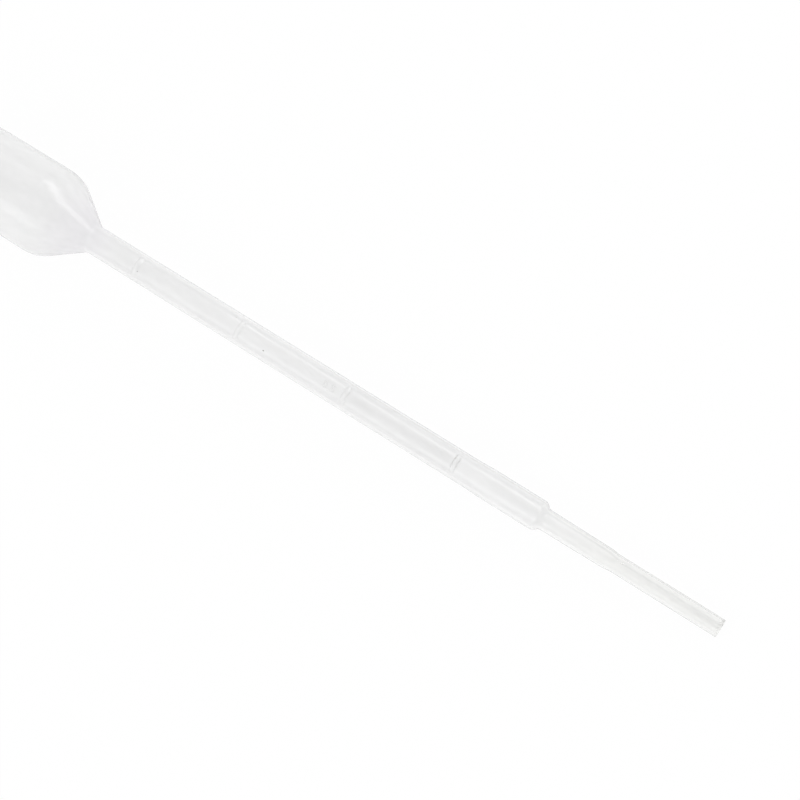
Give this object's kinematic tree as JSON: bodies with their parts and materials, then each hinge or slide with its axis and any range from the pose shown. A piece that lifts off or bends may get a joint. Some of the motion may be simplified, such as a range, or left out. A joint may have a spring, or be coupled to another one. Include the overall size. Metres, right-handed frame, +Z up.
{
  "type": "plastic dropper pipette",
  "caption": "Soft plastic transfer pipette moulded in one piece: closed squeeze bulb, graduated stem and stepped open tip, for drawing up and dropping small volumes of liquid.",
  "frame": {"origin": "on the surface the pipette lies on, under the middle of its box", "axes": "+X from the bulb towards the tip, level; +Z up, through the graduated side; +Y across. The pipette's own axis dips 2.82 degrees towards the tip, because the bulb is thicker than the tip."},
  "size_m": [0.1552, 0.0154, 0.0164],
  "materials": {
    "natural_polyethylene": "satin"
  },
  "bodies": {
    "root": {"pipette": "natural_polyethylene"}
  },
  "joints": []
}
